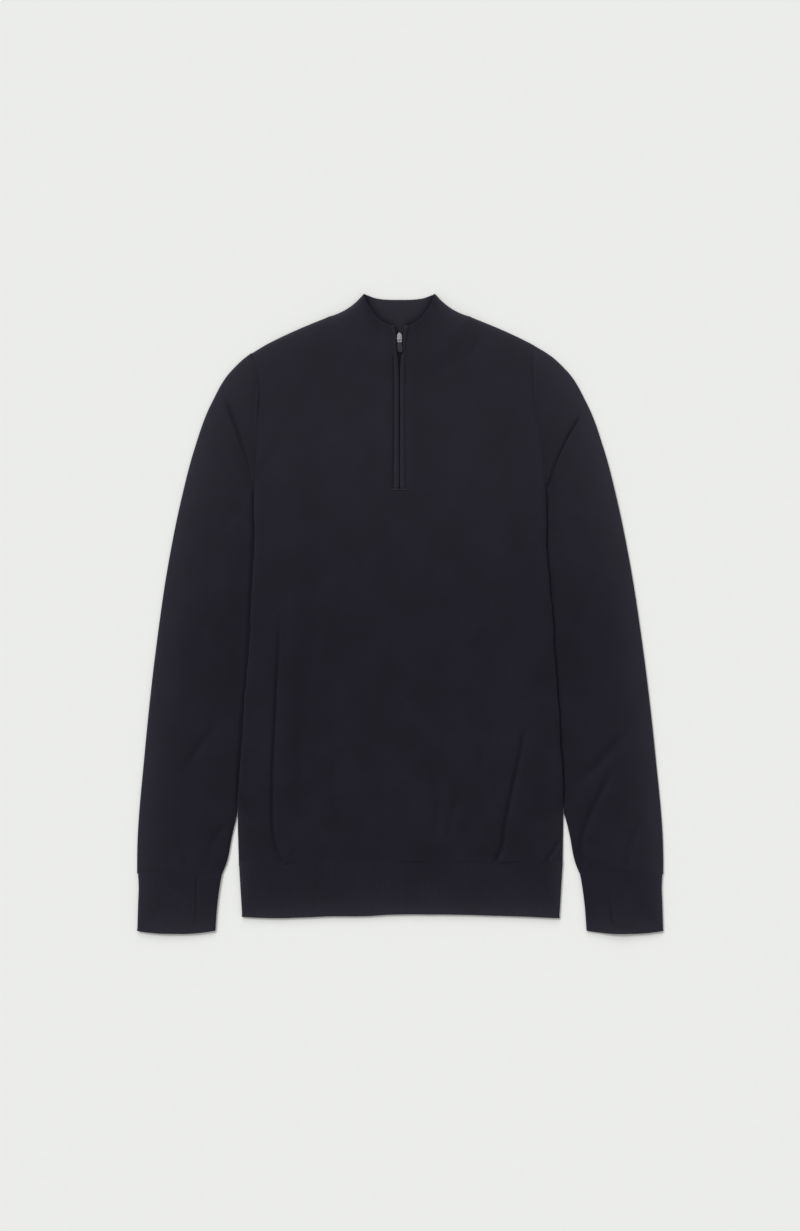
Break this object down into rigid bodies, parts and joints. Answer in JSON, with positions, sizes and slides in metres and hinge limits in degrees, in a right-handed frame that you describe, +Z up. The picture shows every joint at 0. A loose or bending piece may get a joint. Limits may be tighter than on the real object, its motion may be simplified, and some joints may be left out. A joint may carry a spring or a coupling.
{
  "type": "quarter zip sweater",
  "caption": "Fine-knit sweater with a zip at the neck, a standing rib collar, ribbed hem and cuffs, laid flat on its back with its sleeves straight down beside the body",
  "frame": {"origin": "on the surface that the sweater lies on, under the middle of its outline", "axes": "+Z is up, out of the sweater's front; +Y runs from the hem to the collar; +X is to the right as seen from above, which is the wearer's left side"},
  "size_m": [0.603, 0.7339, 0.0121],
  "materials": {
    "knit": "dark navy fine plain knit, matt with a faint nap",
    "rib": "dark navy fine one-by-one rib knit",
    "tape": "black woven zip tape",
    "slider": "polished silver metal",
    "tab": "dark grey moulded tab"
  },
  "bodies": {
    "sweater": {"front_panel": "knit", "back_panel": "knit", "sleeve_left": "knit", "sleeve_right": "knit", "cuff_left": "rib", "cuff_right": "rib", "hem_rib_front": "rib", "hem_rib_back": "rib", "collar": "rib", "zip_welt_left": "knit", "zip_welt_right": "knit", "zip_tape_left": "tape", "zip_tape_right": "tape", "zip_slider": "slider"},
    "zip_pull": {"zip_pull_link": "slider", "zip_pull_tab": "tab"}
  },
  "joints": [
    {"name": "pull_tab_hinge", "type": "hinge", "parent": "sweater", "child": "zip_pull", "pos_m": [0, 0.3158, 0.01045], "axis": [-1, 0, 0], "range_deg": [0, 165]}
  ]
}
